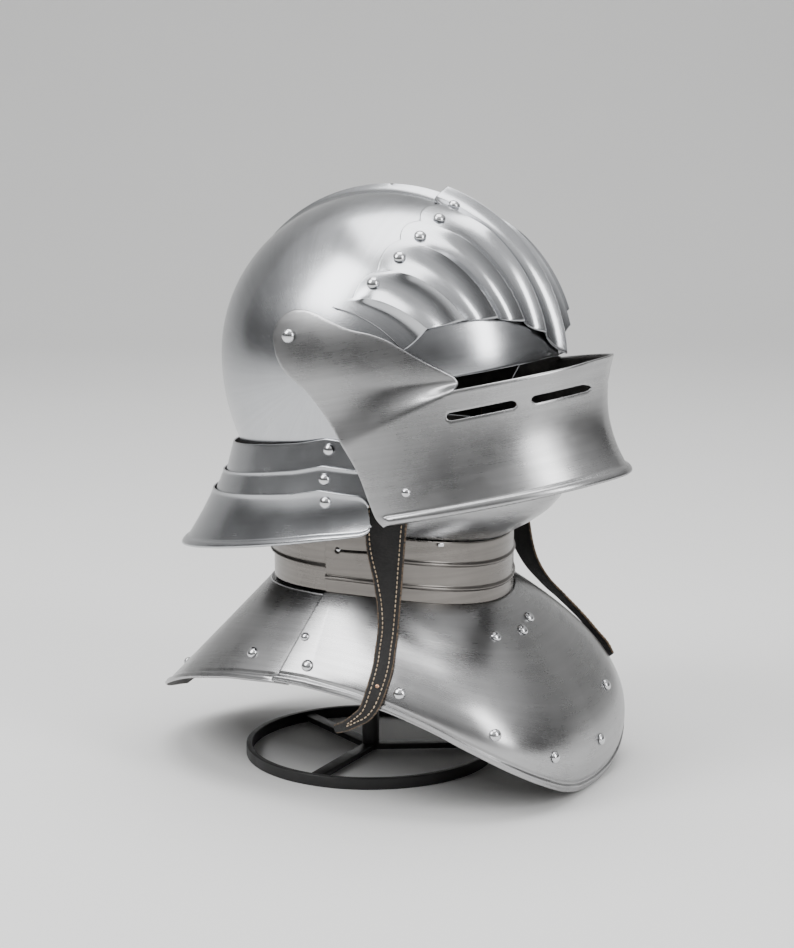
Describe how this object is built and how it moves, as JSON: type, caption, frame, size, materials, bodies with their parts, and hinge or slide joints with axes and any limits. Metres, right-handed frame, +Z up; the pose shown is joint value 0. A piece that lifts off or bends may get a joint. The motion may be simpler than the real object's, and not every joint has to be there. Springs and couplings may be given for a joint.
{
  "type": "sallet helmet with bevor gorget on a ring stand",
  "caption": "Sallet with a fluted brow plate, pivoted slotted visor and laminated tail, over a chin plate, ribbed collar and flared gorget, with leather straps, on a round ring stand",
  "frame": {"origin": "on the table under the middle of the whole, measured over its bounding box", "axes": "+Z is up, the helmet faces -Y, and the wearer's right side is -X"},
  "size_m": [0.2564, 0.3428, 0.401],
  "materials": {
    "steel": "satin polished plate steel",
    "dark_steel": "darker brushed plate steel",
    "leather": "black grained leather with worn edges and pale stitching",
    "stand_paint": "satin black paint"
  },
  "bodies": {
    "helmet_and_stand": {"skull": "steel", "brow_plate": "steel", "tail_lame_1": "steel", "front_collar": "steel", "rear_collar_lower": "dark_steel", "rear_collar_upper": "steel", "gorget_front": "steel", "gorget_rear": "steel", "chin_plate": "steel", "chin_catch": "steel", "strap_near": "leather", "strap_far": "leather", "brow_rivet_near_1": "steel", "brow_rivet_near_2": "steel", "brow_rivet_near_3": "steel", "brow_rivet_near_4": "steel", "brow_rivet_near_5": "steel", "brow_rivet_far_1": "steel", "brow_rivet_far_2": "steel", "brow_rivet_far_3": "steel", "brow_rivet_far_4": "steel", "brow_rivet_far_5": "steel", "visor_pivot_near": "steel", "visor_pivot_far": "steel", "tail_rivet_near_1": "steel", "tail_rivet_far_1": "steel", "gorget_rivet_near_tip": "steel", "gorget_rivet_near_breast": "steel", "gorget_rivet_near_side": "steel", "gorget_rivet_near_shoulder": "steel", "shoulder_stud_near": "steel", "gorget_rear_rivet_near": "steel", "gorget_nape_rivet_near": "steel", "collar_stud_near": "steel", "gorget_rivet_far_tip": "steel", "gorget_rivet_far_breast": "steel", "gorget_rivet_far_side": "steel", "gorget_rivet_far_shoulder": "steel", "shoulder_stud_far": "steel", "gorget_rear_rivet_far": "steel", "gorget_nape_rivet_far": "steel", "collar_stud_far": "steel", "gorget_rivet_upper_1": "steel", "gorget_rivet_upper_2": "steel", "gorget_rivet_upper_3": "steel", "stand": "stand_paint"},
    "visor_body": {"visor": "steel", "visor_stud_near": "steel", "visor_stud_far": "steel"},
    "tail_lame_2_body": {"tail_lame_2": "steel", "tail_rivet_near_2": "steel", "tail_rivet_far_2": "steel"},
    "tail_lame_3_body": {"tail_lame_3": "steel", "tail_rivet_near_3": "steel", "tail_rivet_far_3": "steel", "tail_rivet_back": "steel"}
  },
  "joints": [
    {"name": "visor_hinge", "type": "hinge", "parent": "helmet_and_stand", "child": "visor_body", "pos_m": [0, 0.0229, 0.3077], "axis": [-1, 0, 0], "range_deg": [0, 60]},
    {"name": "tail_lame_2_hinge", "type": "hinge", "parent": "helmet_and_stand", "child": "tail_lame_2_body", "pos_m": [0, -0.0024, 0.2152], "axis": [1, 0, 0], "range_deg": [0, 4]},
    {"name": "tail_lame_3_hinge", "type": "hinge", "parent": "tail_lame_2_body", "child": "tail_lame_3_body", "pos_m": [0, -0.0049, 0.2009], "axis": [1, 0, 0], "range_deg": [0, 4]}
  ]
}
